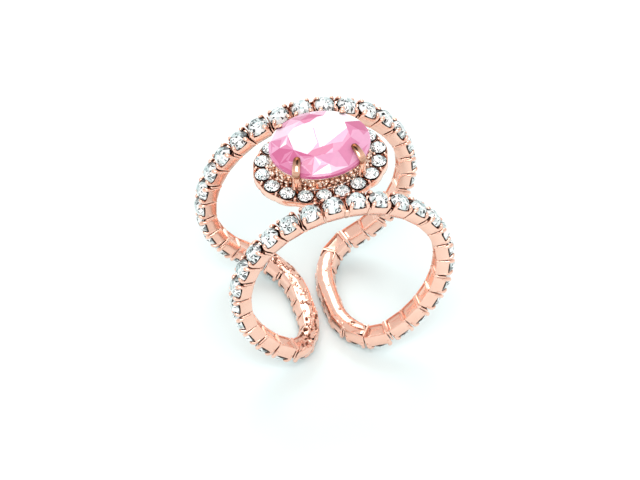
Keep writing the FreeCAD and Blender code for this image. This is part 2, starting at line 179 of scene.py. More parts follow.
class Shape:
    """Collects the closed shells of one piece."""

    def __init__(self):
        self.points, self.faces, self.tones = [], [], []

    def add(self, points, faces, tones):
        start = len(self.points)
        self.points += [Vector(p) for p in points]
        self.faces += [[start + i for i in face] for face in faces]
        self.tones += tones if isinstance(tones, list) else [tones] * len(faces)

    def loft(self, rings, tone=1.0, ring_tones=None, closed=False):
        """Skins a stack of closed rings, ending each open end on its middle."""
        count = len(rings[0])
        points = [p for ring in rings for p in ring]
        faces, tones = [], []
        pairs = list(zip(range(len(rings)), range(1, len(rings))))
        if closed:
            pairs.append((len(rings) - 1, 0))
        for row, (a, b) in enumerate(pairs):
            for i in range(count):
                n = (i + 1) % count
                faces.append([a * count + i, a * count + n, b * count + n, b * count + i])
                tones.append(ring_tones[row] if ring_tones else tone)
        if not closed:
            for ring, flip in ((0, True), (len(rings) - 1, False)):
                points.append(sum((Vector(p) for p in rings[ring]), Vector()) / count)
                for i in range(count):
                    face = [ring * count + i, ring * count + (i + 1) % count, len(points) - 1]
                    faces.append(face[::-1] if flip else face)
                    tones.append(ring_tones[0 if flip else -1] if ring_tones else tone)
        self.add(points, faces, tones)

    def make(self, name, node, slot, material, smooth=40.0):
        """The piece as an object that stands for a node."""
        mesh = bpy.data.meshes.new(name)
        mesh.from_pydata([p * MM for p in self.points], [], self.faces)
        # The tone attribute carries painted shade and painted reflections, with random tone on some lumps.
        colour = not isinstance(self.tones[0], float)
        attribute = mesh.color_attributes.new("tone", "FLOAT_COLOR", "CORNER")
        values = []
        for face, tone in zip(self.faces, self.tones):
            values += ([*tone, 1.0] if colour else [tone, tone, tone, 1.0]) * len(face)
        attribute.data.foreach_set("color", values)
        work = bmesh.new()
        work.from_mesh(mesh)
        bmesh.ops.remove_doubles(work, verts=work.verts, dist=WELD)
        bmesh.ops.recalc_face_normals(work, faces=work.faces)
        work.to_mesh(mesh)
        work.free()
        if smooth:
            mesh.shade_smooth()
            mesh.set_sharp_from_angle(angle=math.radians(smooth))
        mesh.materials.append(material)
        piece = bpy.data.objects.new(name, mesh)
        bpy.context.scene.collection.objects.link(piece)
        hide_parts(node)
        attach(piece, BODY_OF[node])


# Materials.


def nodes_of(name):
    material = bpy.data.materials.new(name)
    material.use_nodes = True
    tree = material.node_tree
    return material, tree, tree.nodes["Principled BSDF"]


def wired(tree, kind, **values):
    """A node with its input values, by name with spaces as underscores."""
    node = tree.nodes.new(kind)
    for key, value in values.items():
        if key in node.bl_rna.properties:
            setattr(node, key, value)
        else:
            node.inputs[key.replace("_", " ")].default_value = value
    return node


def mixed(tree, kind, factor, a, b):
    """A colour mix; each input is a socket or a value."""
    node = tree.nodes.new("ShaderNodeMix")
    node.data_type = "RGBA"
    node.blend_type = kind
    for index, value in ((0, factor), (6, a), (7, b)):
        if isinstance(value, bpy.types.NodeSocket):
            tree.links.new(value, node.inputs[index])
        else:
            node.inputs[index].default_value = value
    return node.outputs[2]


def ranged(tree, socket, low, high, start=0.0, end=1.0):
    node = wired(tree, "ShaderNodeMapRange", From_Min=start, From_Max=end, To_Min=low, To_Max=high)
    tree.links.new(socket, node.inputs["Value"])
    return node.outputs["Result"]


RECESS_SHADE_REACH = 0.0003
RIPPLE_DEPTH = 0.00003
GLASS_IOR = 1.62


def gold(name, colour, deep, rough, ripple, recess_shade_range=(0.20, 0.86)):
    """Plated metal: slight colour and polish variation, fine ripples, and the deep colour as painted shade in
    recesses, by an occlusion mask, and where the tone attribute is low.
    """
    material, tree, shader = nodes_of(name)
    where = wired(tree, "ShaderNodeTexCoord").outputs["Object"]
    broad = wired(tree, "ShaderNodeTexNoise", Scale=700.0, Detail=3.0)
    fine = wired(tree, "ShaderNodeTexNoise", Scale=5200.0, Detail=4.0)
    for node in (broad, fine):
        tree.links.new(where, node.inputs["Vector"])
    tone = wired(tree, "ShaderNodeAttribute", attribute_name="tone")
    tint = mixed(tree, "MIX", ranged(tree, broad.outputs["Fac"], -0.3, 1.3), (*colour, 1),
                 (colour[0] * 0.97, colour[1] * 0.90, colour[2] * 0.86, 1))
    # The tone attribute pulls the colour to the deep one: painted shade on most pieces, painted reflection on
    # the front claws' tips, random tone on some lumps.
    shaded = mixed(tree, "MIX", tone.outputs["Fac"], (*deep, 1), tint)
    # Painted shade in recesses and creases, from an occlusion mask.
    hollow = wired(tree, "ShaderNodeAmbientOcclusion", Distance=RECESS_SHADE_REACH, samples=8)
    painted_recess_shade = ranged(tree, hollow.outputs["AO"], 0.0, 1.0, *recess_shade_range)
    final = mixed(tree, "MIX", painted_recess_shade, (*deep, 1), shaded)
    tree.links.new(final, shader.inputs["Base Color"])
    shader.inputs["Metallic"].default_value = 1.0
    tree.links.new(ranged(tree, fine.outputs["Fac"], rough - 0.05, rough + 0.10), shader.inputs["Roughness"])
    bump = wired(tree, "ShaderNodeBump", Strength=ripple, Distance=RIPPLE_DEPTH)
    tree.links.new(broad.outputs["Fac"], bump.inputs["Height"])
    tree.links.new(bump.outputs["Normal"], shader.inputs["Normal"])
    return material


def crystal_glass(name, grime, painted_glow=0.0):
    """Cut glass with a foiled back: each facet's colour is a painted reflection from the tone attribute, dimmed
    in random clouds; the glow is painted light.
    """
    material, tree, shader = nodes_of(name)
    where = wired(tree, "ShaderNodeTexCoord").outputs["Object"]
    cloud = wired(tree, "ShaderNodeTexNoise", Scale=1900.0, Detail=2.0)
    tree.links.new(where, cloud.inputs["Vector"])
    tone = wired(tree, "ShaderNodeAttribute", attribute_name="tone")
    dim_tone = mixed(tree, "MULTIPLY", 1.0, tone.outputs["Color"], (grime, grime, grime, 1))
    share = ranged(tree, cloud.outputs["Fac"], -0.4, 1.2)
    colour = mixed(tree, "MIX", share, tone.outputs["Color"], dim_tone)
    tree.links.new(colour, shader.inputs["Base Color"])
    tree.links.new(ranged(tree, cloud.outputs["Fac"], 0.02, 0.07), shader.inputs["Roughness"])
    shader.inputs["IOR"].default_value = GLASS_IOR
    # The painted reflections also shine by the glow strength: painted light.
    tree.links.new(tone.outputs["Color"], shader.inputs["Emission Color"])
    shader.inputs["Emission Strength"].default_value = painted_glow
    return material


ROSE_GOLD = gold("rose_gold_plate", (0.98, 0.628, 0.513), (0.19, 0.068, 0.035), 0.18, 0.10)
SOLDER = gold("plated_solder", (0.97, 0.612, 0.495), (0.20, 0.072, 0.038), 0.14, 0.45)
# A lighter copy of the gold with gentler recess shade, to brighten the gallery in the stone's shade: painted
# light.
GRAINED = gold("grained_rose_gold", (1.0, 0.80, 0.69), (0.58, 0.28, 0.18), 0.24, 0.30, (-0.40, 0.38))
CLEAR = crystal_glass("clear_cut_glass", 0.86)
# The claws' deep colour is painted reflection on the front claws' tips and bands.
CLAW_GOLD = gold("claw_rose_gold_painted_reflection", (1.0, 0.60, 0.45), (0.20, 0.06, 0.02), 0.12, 0.20)
# The halo's small stones get a painted glow to lift them out of the shade under the stone.
SMALL_CLEAR = crystal_glass("small_clear_cut_glass", 0.90, painted_glow=0.20)
PINK = crystal_glass("pink_cut_glass", 0.92)

# Cut stones.
# Painted reflection tones of the clear stones; the girdle tone is painted shade on the girdle and pavilion.
CLEAR_TONES = {
    "white": (0.92, 0.93, 0.93),
    "pearl": (0.62, 0.70, 0.70),
    "ice": (0.44, 0.54, 0.55),
    "grey": (0.22, 0.25, 0.26),
    "dark": (0.015, 0.018, 0.02),
    "girdle": (0.03, 0.014, 0.01),
}
# The tones are painted reflections. How often each comes up, by where on a stone a facet lies: w white, p
# pearl, i ice, g grey, d dark.
TONE_NAMES = {"w": "white", "p": "pearl", "i": "ice", "g": "grey", "d": "dark"}
MIXES = {
    ("table", "near"): "wwwwwwwpi",
    ("table", "middle"): "wwpppiidg",
    ("table", "far"): "pppppiiiiw",
    ("crown", "near"): "wwwwwwwpp",
    ("crown", "middle"): "wwwppiig",
    ("crown", "far"): "wwpppiiggd",
    ("rim", "near"): "wwwwwppg",
    ("rim", "middle"): "wwwppigd",
    ("rim", "far"): "wwwpiggdd",
}
# How often a facet gets a thin dark splinter of painted reflection.
SPLINTERED = {"table": 0.35, "crown": 0.60, "rim": 0.45}
# A facet is near or far when it lies along or against this way from its stone's middle by more than the band.
# This way points towards the camera, so near facets get lighter painted reflections.
FRONT_WAY = Vector((-0.34, -0.93, 0.1))
SIDE_BAND = 0.12


def ring_points(centre, x_way, y_way, up, radius, height, count, start, stretch=(1.0, 1.0)):
    """Points of a circle or oval about an axis."""
    points = []
    for i in range(count):
        angle = start + 2 * math.pi * i / count
        points.append(centre + x_way * (radius * stretch[0] * math.cos(angle))
                      + y_way * (radius * stretch[1] * math.sin(angle)) + up * height)
    return points


def brilliant(shape, axes, size, rng, painted_light_gain=1.0, broken=1.0):
    """A round cut stone: split table, stars, kites, girdle facets, girdle and pavilion."""
    centre, x_way, y_way, up = axes
    start = rng.uniform(0, math.pi / 4)
    eighth = math.pi / 4
    radius, table, top = size["radius"], size["table"], size["top"]
    star = table + (radius - table) * 0.58
    star_height = size["rim"] + (top - size["rim"]) * 0.64
    points = ring_points(*axes, table, top, 8, start + eighth / 2)
    points += ring_points(*axes, table * 0.5, top, 8, start)
    points += ring_points(*axes, star, star_height, 8, start)
    points += ring_points(*axes, radius, size["rim"], 16, start)
    points += ring_points(*axes, radius, size["girdle"], 16, start)
    points += [centre + up * top, centre + up * size["culet"]]
    tables, inner, stars, rim, low, middle, culet = 0, 8, 16, 24, 40, 56, 57
    points[middle] += (x_way * rng.uniform(-0.25, 0.25) + y_way * rng.uniform(-0.25, 0.25)) * table
    faces, tones = [], []

    # The tones are painted reflections; the gain brightens them as painted light.
    def toned(name):
        return tuple(min(1.0, value * painted_light_gain) for value in CLEAR_TONES[name])

    def facet(corners, part):
        """A facet in a painted reflection tone of its part and side; some have a thin dark splinter of painted
        reflection along an edge.
        """
        heart = sum((points[i] for i in corners), Vector()) / len(corners) - centre
        nearness = (heart - up * heart.dot(up)).dot(FRONT_WAY) / radius
        side = "near" if nearness > SIDE_BAND else "far" if nearness < -SIDE_BAND else "middle"
        tone = toned(TONE_NAMES[rng.choice(MIXES[part, side])])
        if rng.random() < SPLINTERED[part] * broken:
            turn = rng.randrange(3)
            a, b, c = corners[turn:] + corners[:turn]
            depth = rng.uniform(0.25, 0.55)
            points.append((points[a] + points[b]) * ((1 - depth) / 2) + points[c] * depth)
            faces.extend(([a, b, len(points) - 1], [b, c, len(points) - 1], [c, a, len(points) - 1]))
            tones.extend((toned("dark"), tone, tone))
        else:
            faces.append(corners)
            tones.append(tone)

    for k in range(8):
        n, p = (k + 1) % 8, (k - 1) % 8
        facet([middle, inner + k, inner + n], "table")
        facet([inner + k, tables + k, inner + n], "table")
        facet([inner + k, tables + p, tables + k], "table")
        facet([tables + p, stars + k, tables + k], "crown")
        facet([tables + k, stars + k, rim + 2 * k + 1], "crown")
        facet([tables + k, rim + 2 * k + 1, stars + n], "crown")
        facet([stars + k, rim + 2 * k, rim + 2 * k + 1], "rim")
        facet([stars + k, rim + (2 * k - 1) % 16, rim + 2 * k], "rim")
    # The girdle and pavilion in near black: painted shade.
    for k in range(16):
        n = (k + 1) % 16
        faces += [[rim + k, low + k, low + n, rim + n], [low + k, culet, low + n]]
        tones += [CLEAR_TONES["girdle"]] * 2
    shape.add(points, faces, tones)


# One cup of the chain.
CORNER_STEPS = 4
SIDE_STEPS = 6
CUP_CORNER = 0.13


def square_ring(half_x, half_y, corner):
    """A rounded square, as (x, y, which sides it faces, how far it is from a corner)."""
    ring = []
    spots = ((1, 1, 0), (-1, 1, 90), (-1, -1, 180), (1, -1, 270))
    for index, (sx, sy, turn) in enumerate(spots):
        cx, cy = sx * (half_x - corner), sy * (half_y - corner)
        for i in range(CORNER_STEPS + 1):
            angle = math.radians(turn + 90 * i / CORNER_STEPS)
            ring.append((cx + corner * math.cos(angle), cy + corner * math.sin(angle), "corner", 0.0))
        ex, ey = ring[-1][:2]
        nx, ny, _ = spots[(index + 1) % 4]
        away = math.radians(turn + 90)
        fx = nx * (half_x - corner) + corner * math.cos(away)
        fy = ny * (half_y - corner) + corner * math.sin(away)
        for i in range(1, SIDE_STEPS):
            share = i / SIDE_STEPS
            side = "flank" if index % 2 == 0 else "end"
            ring.append((ex + (fx - ex) * share, ey + (fy - ey) * share, side, 1 - (2 * share - 1) ** 2))
    return ring


SCALLOP = {"corner": 0.0, "flank": 0.14, "end": 0.40}


def rim_height(side, middle):
    """The rim dips between the claws, more at the link's two ends."""
    return CUP_HEIGHT - SCALLOP[side] * min(1.0, middle * 1.6) ** 0.8


def cup(shape, link):
    """A pressed cup: side walls, scalloped rim, the stone's seat, and the hollow on the finger side."""
    rings = []

    def level(height, inset, from_rim=False, circle=None):
        """A ring round the cup at a height, or at a depth below the rim; a circle keeps it round inside."""
        ring = []
        for x, y, side, middle in square_ring(1, 1, CUP_CORNER):
            z = rim_height(side, middle) - height if from_rim else height
            half_y = half_width(z) - inset
            px, py = x * (NOMINAL_HALF - inset), y * half_y
            if circle:
                keep_in = min(1.0, circle / math.hypot(px, py))
                px, py = px * keep_in, py * keep_in
            ring.append(link.spot(px, py, z))
        rings.append(ring)

    level(0.27, 0.45)
    level(0.25, 0.28)
    level(0.20, 0.17)
    level(0.08, 0.12)
    level(0.03, 0.09)
    level(0.03, 0.03)
    level(0.06, 0.0)
    level(0.70, 0.0)
    level(0.05, 0.0, from_rim=True)
    level(0.01, 0.015, from_rim=True)
    level(0.0, 0.045, from_rim=True)
    level(0.02, 0.08, from_rim=True, circle=0.96)
    level(0.32, 0.09, from_rim=True, circle=0.93)
    level(0.55, 0.3, circle=0.45)
    # The finger-side hollow is a little darker and the stone's seat dark: painted shade.
    tones = [0.95, 0.95, 0.9, 0.9] + [1.0] * 7 + [0.3, 0.0]
    shape.loft(rings, ring_tones=tones)


def rod(shape, path, sizes, wide_way, tones=None, steps=10):
    """A rounded rod along a path, its half width and half thickness given at each point."""
    rings = []
    for i, place in enumerate(path):
        ahead = path[min(i + 1, len(path) - 1)] - path[max(i - 1, 0)]
        ahead.normalize()
        wide = (wide_way - ahead * wide_way.dot(ahead)).normalized()
        thick = ahead.cross(wide)
        half_wide, half_thick = sizes[i]
        rings.append([place + wide * (half_wide * math.cos(a)) + thick * (half_thick * math.sin(a))
                      for a in (2 * math.pi * s / steps for s in range(steps))])
    shape.loft(rings, ring_tones=tones)


def smooth_path(points, steps):
    """A Catmull-Rom line through points, with the shares for its sizes."""
    points = [Vector(p) for p in points]
    padded = [points[0] * 2 - points[1]] + points + [points[-1] * 2 - points[-2]]
    line, shares = [], []
    for i in range(1, len(padded) - 2):
        a, b, c, d = padded[i - 1:i + 3]
        for s in range(steps):
            t = s / steps
            line.append(0.5 * ((2 * b) + (c - a) * t + (2 * a - 5 * b + 4 * c - d) * t ** 2
                               + (3 * b - a - 3 * c + d) * t ** 3))
            shares.append(i - 1 + t)
    return line + [points[-1]], shares + [len(points) - 1.0]


def between(values, share):
    """A value of a list at a fractional index."""
    i = min(int(share), len(values) - 2)
    return values[i] + (values[i + 1] - values[i]) * (share - i)


def claw(shape, link, x_side, y_side, rng):
    """A cup's claw: it rises from a rim corner and bends over the crystal's crown."""
    lift = rng.uniform(-0.05, 0.04)
    foot_x, foot_y = x_side * (NOMINAL_HALF - 0.15), y_side * (half_width(1.2) - 0.13)
    spots = [(1.0, 1.0, 0.80), (1.0, 1.0, 1.18), (0.98, 0.98, 1.42), (0.90, 0.90, 1.60 + lift),
             (0.81, 0.81, 1.69 + lift), (0.73, 0.73, 1.72 + lift), (0.70, 0.70, 1.70 + lift)]
    line = [link.spot(foot_x * x, foot_y * y, z) for x, y, z in spots]
    widths = [0.10, 0.18, 0.20, 0.20, 0.18, 0.12, 0.03]
    path, shares = smooth_path(line, 3)
    sizes = [(between(widths, s), between(widths, s) * 0.92) for s in shares]
    wide_way = (link.travel * x_side - link.across * y_side).normalized()
    rod(shape, path, sizes, wide_way)


def cups_piece(name, run):
    rng = random.Random("claws" + name)
    shape = Shape()
    for k in run:
        link = Link(k % LINKS)
        cup(shape, link)
        for x_side in (-1, 1):
            for y_side in (-1, 1):
                claw(shape, link, x_side, y_side, rng)
    shape.make(name + "_cups_detail", name + "_cups", "rose_gold", ROSE_GOLD)


def crystals_piece(name, run):
    rng = random.Random("crystals" + name)
    shape = Shape()
    for k in run:
        centres = [at + out * CRYSTAL["rim"] for at, _, _, out in (link_frame(n) for n in (k - 1, k, k + 1))]
        room = min((centres[1] - centres[0]).length, (centres[2] - centres[1]).length) * CRYSTAL_ROOM
        brilliant(shape, link_frame(k), dict(CRYSTAL, radius=min(CRYSTAL["radius"], room)), rng)
    shape.make(name + "_crystals_detail", name + "_crystals", "clear_crystal", CLEAR, smooth=None)


PLATE_EDGE = 0.03
BASE_STRIP = 0.30
WALL_TOP = 1.16
BAR_HALF = 0.105
BAR_THICKNESS = 0.09


def plate(shape, j, shares, top, tone=1.0):
    """A slab across the slot of a junction, between shares of the link's width, from the base to a height."""
    at, travel, across, out = junction_frame(j)
    low, high = shares
    outline = [(-1, 2 * PLATE_EDGE), (-0.5, PLATE_EDGE), (0.5, PLATE_EDGE), (1, 2 * PLATE_EDGE)]
    outline += [(1, top), (0.5, top + PLATE_EDGE), (-0.5, top + PLATE_EDGE), (-1, top)]
    rings = []
    for y_share, inset in ((low, 0.02), (low + PLATE_EDGE, 0.0), (high - PLATE_EDGE, 0.0), (high, 0.02)):
        ring = []
        for a, z in outline:
            half = gap(j, z) / 2 + PLATE_EDGE - inset
            ring.append(at + travel * (a * half) + across * (y_share * half_width(z)) + out * z)
        rings.append(ring)
    shape.loft(rings, tone=tone)


def bar(shape, j, half, top):
    """A rounded bar in a slot: one rod up each of its two ends, and a dark core between them, painted shade of
    the slot.
    """
    at, travel, across, out = junction_frame(j)
    levels = ((0.24, 0.14), (0.30, 0.06), (0.42, 0.03), (0.75, 0.03),
              (top - 0.10, 0.03), (top, 0.08), (top + 0.03, 0.16))
    widths = [0.4, 0.85, 1.0, 1.0, 1.0, 0.8, 0.3]
    for side in (-1, 1):
        line = [at + across * (side * (half_width(z) - sunk)) + out * z for z, sunk in levels]
        path, shares = smooth_path(line, 3)
        sizes = [(between(widths, s) * half, between(widths, s) * BAR_THICKNESS) for s in shares]
        rod(shape, path, sizes, travel, steps=12)
    corners = ((-1, -1), (1, -1), (1, 1), (-1, 1))
    core = []
    for z in (BASE_STRIP, top - 0.05):
        inner = half_width(z) - 0.12
        core.append([at + travel * (a * half * 0.6) + across * (b * inner) + out * z for a, b in corners])
    # The core's dark tone is painted shade in the slot.
    shape.loft(core, tone=0.3)


def base_strip(shape, j):
    """The strip along the base that joins two cups."""
    plate(shape, j, (-1.0, 1.0), BASE_STRIP)


# The runs of links, as in the part's source.
HALF = LINKS // 2
SIDE = (HALF - 2 * HINGE_STEPS) // 3
RUNS = {
    "front_centre": range(LINKS - HINGE_STEPS, LINKS + HINGE_STEPS),
    "right_front": range(HINGE_STEPS, HINGE_STEPS + SIDE),
    "right_tip": range(HINGE_STEPS + SIDE, HALF - HINGE_STEPS - SIDE),
    "right_rear": range(HALF - HINGE_STEPS - SIDE, HALF - HINGE_STEPS),
    "rear_centre": range(HALF - HINGE_STEPS, HALF + HINGE_STEPS),
    "left_rear": range(HALF + HINGE_STEPS, HALF + HINGE_STEPS + SIDE),
    "left_tip": range(HALF + HINGE_STEPS + SIDE, LINKS - HINGE_STEPS - SIDE),
    "left_front": range(LINKS - HINGE_STEPS - SIDE, LINKS - HINGE_STEPS),
}
HINGES = {"right": (HINGE_STEPS, HALF - HINGE_STEPS), "left": (LINKS - HINGE_STEPS, HALF + HINGE_STEPS)}
HINGE_JUNCTIONS = [j for pair in HINGES.values() for j in pair]
PIN_HEIGHT = 0.40
PIN_PROFILE = ((-0.60, 0.05), (-0.56, 0.11), (-0.50, 0.13), (0.50, 0.13), (0.56, 0.11), (0.60, 0.05))
SLIM_BAR_HALF = 0.075
SLIM_BAR_TOP = 1.0


def joiners_piece(name, run):
    """The joiners of a run: under the head the slots are closed, elsewhere the wide ones hold a bar."""
    shape = Shape()
    for j in (count % LINKS for count in run):
        if j in HINGE_JUNCTIONS:
            continue
        base_strip(shape, j)
        if "centre" in name:
            plate(shape, j, (0.86, 1.0), WALL_TOP)
            plate(shape, j, (-1.0, -0.86), WALL_TOP)
            # The middle plate is dark: painted shade in the closed slot.
            plate(shape, j, (-0.87, 0.87), 0.92, tone=0.15)
        elif j % 2 == 0:
            bar(shape, j, BAR_HALF, WALL_TOP)
    shape.make(name + "_joiners_detail", name + "_joiners", "rose_gold", ROSE_GOLD)


def hinge_pins_piece(side, junctions):
    """A side's two hinge pins, each with the strip and bar of its slot."""
    shape = Shape()
    knuckles = [at + out * PIN_HEIGHT for at, _, _, out in map(junction_frame, junctions)]
    hinge_way = (knuckles[1] - knuckles[0]).normalized()
    for j, knuckle in zip(junctions, knuckles):
        base_strip(shape, j)
        bar(shape, j, SLIM_BAR_HALF, SLIM_BAR_TOP)
        travel = junction_frame(j)[1]
        line = [knuckle + hinge_way * y for y, _ in PIN_PROFILE]
        rod(shape, line, [(radius, radius) for _, radius in PIN_PROFILE], travel)
    shape.make(side + "_hinge_pins_detail", side + "_hinge_pins", "rose_gold", ROSE_GOLD)


for name, run in RUNS.items():
    cups_piece(name, run)
    crystals_piece(name, run)
    joiners_piece(name, run)
for side, junctions in HINGES.items():
    hinge_pins_piece(side, junctions)

# Solder run over the finger side of the links at each tip: a smooth strip on the right, a lumpy one on the
# left. For each side: the tip's middle junction, how many lumps the solder has, and how far it domes.
TIP_SOLDER = {"right": (HALF // 2, 10, 0.25), "left": (LINKS - HALF // 2, 110, 0.17)}
TIP_REACH = 3
STRIP_STEPS = 12
STRIP_HALF = 0.71
LUMP_ROWS = 7
LUMP_TURNS = 10


def lump(shape, centre, ways, radii, tone=1.0):
    """A rounded blob; its radii lie along three directions."""
    turns = [2 * math.pi * n / LUMP_TURNS for n in range(LUMP_TURNS)]
    rings = []
    for i in range(1, LUMP_ROWS):
        pitch = math.pi * i / LUMP_ROWS
        rings.append([centre + ways[0] * (radii[0] * math.sin(pitch) * math.cos(turn))
                      + ways[1] * (radii[1] * math.sin(pitch) * math.sin(turn))
                      + ways[2] * (radii[2] * math.cos(pitch)) for turn in turns])
    shape.loft(rings, tone=tone)


def at_count(count):
    """The loop's frame at a count of links."""
    return frame_at(chain_distance(count), PITCH)


def solder_strip(shape, first, last, dome, rng):
    """The strip that the solder forms, domed towards the finger and a little uneven."""
    rings = []
    steps = STRIP_STEPS * (last - first)
    waves = [[rng.uniform(-1, 1) for _ in range(steps + 3)] for _ in range(3)]
    for i in range(steps + 1):
        place, _, across, out = at_count(first + 0.04 + (last - first - 0.08) * i / steps)
        ease = math.sqrt(max(0.0, 1 - (2 * i / steps - 1) ** 12)) * 0.85 + 0.15
        left, right, swell = (sum(wave[i:i + 3]) / 3 for wave in waves)
        ring = []
        for share in (-1.0, -0.9, -0.7, -0.45, -0.2, 0.0, 0.2, 0.45, 0.7, 0.9, 1.0):
            half = (STRIP_HALF + 0.05 * (right if share > 0 else left)) * ease
            rise = (dome + 0.04 * swell) * ease * (1 - share * share)
            ring.append(place + across * (half * share) + out * (0.05 - rise))
        ring += [place + across * y + out * 0.26 for y in (0.45, -0.45)]
        rings.append(ring)
    shape.loft(rings)


def solder_lumps(shape, first, last, lumps, dome, rng):
    """Lumps spread over the strip."""
    for _ in range(lumps):
        place, travel, across, out = at_count(rng.uniform(first + 0.2, last - 0.2))
        share = rng.uniform(-0.95, 0.95)
        rise = 0.07 - dome * (1 - share * share) + rng.uniform(-0.03, 0.03)
        radii = [rng.uniform(*span) for span in ((0.10, 0.32), (0.07, 0.20), (0.08, 0.13))]
        tone = rng.choice((1.0, 1.0, 1.0, 0.8, 0.5, 0.15))
        lump(shape, place + across * (0.70 * share) + out * rise, (travel, across, out), radii, tone)


def solder_pits(shape, middle, rng):
    """The left tip's pits towards the front band, as dark lumps of painted shade, and the blob that closes it
    there.
    """
    for _ in range(16):
        place, travel, across, out = at_count(middle + rng.uniform(1.3, 3.4))
        centre = place + across * rng.uniform(-0.6, 0.6) - out * 0.10
        radii = (rng.uniform(0.12, 0.26), rng.uniform(0.08, 0.16), 0.09)
        # Dark lumps: painted shade for pits.
        lump(shape, centre, (travel, across, out), radii, tone=0.0)
    place, travel, across, out = at_count(middle + 3.5)
    lump(shape, place - across * 0.78 + out * 0.62, (travel, across, out), (1.30, 0.34, 0.72))


for side, (middle, lumps, dome) in TIP_SOLDER.items():
    rng = random.Random("solder" + side)
    shape = Shape()
    solder_strip(shape, middle - TIP_REACH, middle + TIP_REACH, dome, rng)
    solder_lumps(shape, middle - TIP_REACH, middle + TIP_REACH, lumps, dome, rng)
    if side == "left":
        solder_pits(shape, middle, rng)
    shape.make(side + "_tip_solder_detail", side + "_tip_solder", "solder", SOLDER)

# The head.
UP = Vector((0, 0, 1))
HEAD_AXES = (Vector((1, 0, 0)), Vector((0, 1, 0)), UP)
ROW_STEPS = 2880


class Head(Shape):
    """A shape built upright and leaned as the head is."""

    def make(self, *args, **kwargs):
        self.points = [LEAN @ p for p in self.points]
        super().make(*args, **kwargs)


def row_places(count):
    """Evenly spaced points of the halo's row, with the row's outward normal."""
    angles = [2 * math.pi * i / ROW_STEPS for i in range(ROW_STEPS + 1)]
    spots = [(HALO_ROW[0] * math.cos(a), HALO_ROW[1] * math.sin(a)) for a in angles]
    run = [0.0]
    for before, after in zip(spots, spots[1:]):
        run.append(run[-1] + math.dist(before, after))
    found = []
    for i in range(count):
        n = min(bisect.bisect_left(run, run[-1] * i / count), ROW_STEPS - 1)
        x, y = spots[n]
        normal = Vector((x / HALO_ROW[0] ** 2, y / HALO_ROW[1] ** 2, 0)).normalized()
        found.append((Vector((x, y, 0)), normal))
    return found


HALO_STEPS = 12
HALO_FOOT = 9.14
HALO_INNER = -1.08
COLLAR = ((0.75, 9.40), (0.82, 9.40), (0.84, 9.56), (0.825, 9.61), (0.80, 9.62), (0.76, 9.58))
places = row_places(HALO_COUNT * HALO_STEPS)


def halo_profile(place, bump):
    """The frame's cross-section, as offsets from the row and levels: an edge that swells beside each crystal,
    a skirt that hangs lower towards the oval's ends, and a flat lip inside."""
    edge = 0.74 + 0.10 * bump ** 0.7
    skirt = HALO_FOOT - 0.32 * min(1.0, (place.x / 4.0) ** 2)
    outside = [(edge - 0.30, HALO_FOOT), (edge - 0.14, skirt), (edge - 0.06, skirt + 0.01),
               (edge - 0.02, skirt + 0.06), (edge, 9.30), (edge, 9.54)]
    top = [(edge - 0.03, 9.60), (edge - 0.08, 9.62), (edge - 0.13, 9.58), (0.0, 9.42)]
    lip = [(-0.70, 9.45), (-0.85, 9.45), (-1.06, 9.42), (HALO_INNER, 9.38)]
    return [(HALO_INNER, 9.16)] + outside + top + lip


halo = Head()
rings = []
for i, (place, normal) in enumerate(places):
    profile = halo_profile(place, abs(math.cos(math.pi * i / HALO_STEPS)))
    rings.append([place + normal * offset + UP * z for offset, z in profile])
halo.loft(rings, closed=True)
for place, _ in places[::HALO_STEPS]:
    collar = [ring_points(place, *HEAD_AXES, radius, z, 28, 0.0) for radius, z in COLLAR]
    halo.loft(collar, closed=True)
halo.make("halo_frame_detail", "halo_frame", "rose_gold", ROSE_GOLD)

rng = random.Random("halo")
shape = Head()
for place, _ in places[::HALO_STEPS]:
    # The small stones' painted reflections are brighter, as painted light in the stone's shade, and more often
    # splintered.
    brilliant(shape, (place, *HEAD_AXES), HALO_CRYSTAL, rng, painted_light_gain=1.10, broken=1.3)
shape.make("halo_crystals_detail", "halo_crystals", "clear_crystal", SMALL_CLEAR, smooth=None)


PRONG_RADIUS = 0.17
PRONG_RISE = 0.46
PRONG_FOOT = 9.46
PRONG_OFFSET = 0.54
PRONG_LEAN = 0.06


def prong(shape, place, lean):
    """A prong bead with a domed top that leans over its crystal."""
    rings = []
    for share, width in ((0.0, 0.9), (0.35, 1.0), (0.62, 0.92), (0.84, 0.68), (0.96, 0.34)):
        size = PRONG_RADIUS * width
        rings.append(ring_points(place + lean * share, *HEAD_AXES, size, PRONG_RISE * share, 10, 0.0))
    shape.loft(rings)


shape = Head()
for place, normal in places[HALO_STEPS // 2::HALO_STEPS]:
    for side in (-1, 1):
        spot = place + normal * (side * PRONG_OFFSET) + UP * PRONG_FOOT
        prong(shape, spot, normal * (-side * PRONG_LEAN))
shape.make("halo_prongs_detail", "halo_prongs", "rose_gold", ROSE_GOLD)


def oval_points(half_x, half_y, z, count):
    """Points of a level oval about the head's axis."""
    return [Vector((half_x * math.cos(a), half_y * math.sin(a), z))
            for a in (2 * math.pi * i / count for i in range(count))]


# The gallery: a wall with a thin rail under the stone, covered in milled grains.
GALLERY_FLOOR = 9.66
GALLERY_RISE = 1.94
GALLERY_HALF = (4.78, 3.48)
GALLERY_SPREAD = (-0.12, 0.54)
WALL_PROFILE = ((0.30, 9.36), (0.20, 9.36), (0.18, 10.2), (0.16, 11.3), (0.02, 11.42), (-0.02, 11.50),
                (-0.01, 11.58), (0.03, 11.62), (0.24, 11.62), (0.30, 11.4))
# Painted shade on the wall: dark at its foot and on the rail's inner side under the stone.
WALL_TONES = [0.2, 0.4, 0.9, 1.0, 1.0, 1.0, 1.0, 0.8, 0.1, 0.0]
